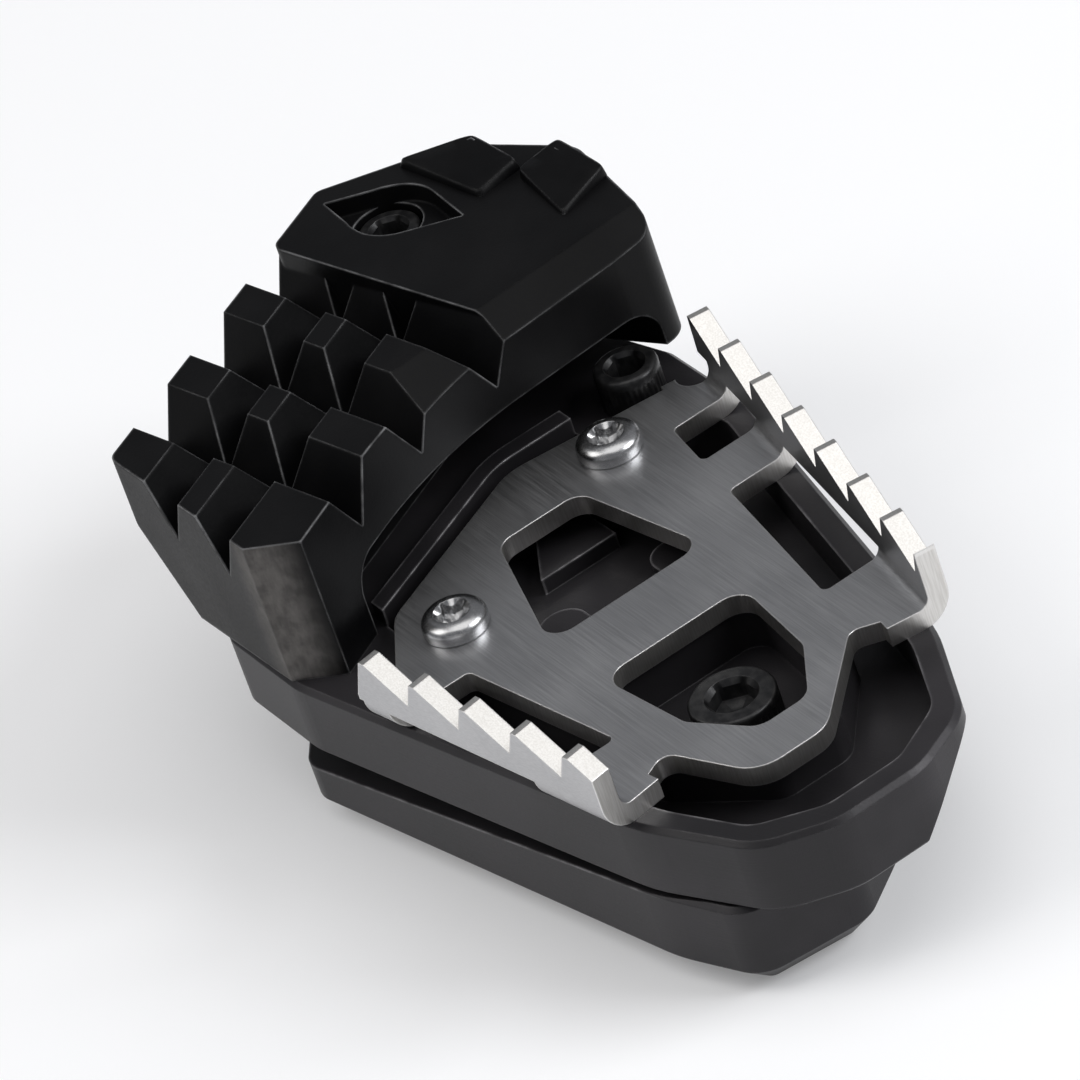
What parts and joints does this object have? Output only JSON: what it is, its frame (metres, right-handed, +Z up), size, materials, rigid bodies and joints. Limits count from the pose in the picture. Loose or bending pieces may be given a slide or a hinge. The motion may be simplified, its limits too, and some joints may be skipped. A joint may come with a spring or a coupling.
{
  "type": "brake pedal extension",
  "caption": "Clamp-on brake pedal extension: black milled clamp halves, a serrated bent-sheet tread plate screwed on top, and a toothed toe pad with a raised end beside it.",
  "frame": {"origin": "on the face that the lower half rests on, straight below the middle between the two tread screws", "axes": "+X outwards to the tip, +Y forwards along the motorbike, +Z up from the lower half to the tread"},
  "size_m": [0.1215, 0.0661, 0.0419],
  "materials": {
    "clamp_black": "milled and anodised black, satin",
    "tread_steel": "stainless sheet, fine brushed satin, bright cut edges",
    "bright_screw": "plain stainless",
    "black_screw": "blackened steel",
    "pad_black": "black, half gloss, worn on the front corner"
  },
  "bodies": {
    "root": {"upper_clamp": "clamp_black", "lower_clamp": "clamp_black", "tread_plate": "tread_steel", "tread_screws": "bright_screw", "clamp_screw_front": "black_screw", "clamp_screw_rear": "black_screw", "toe_pad": "pad_black", "toe_pad_screw": "black_screw"}
  },
  "joints": []
}
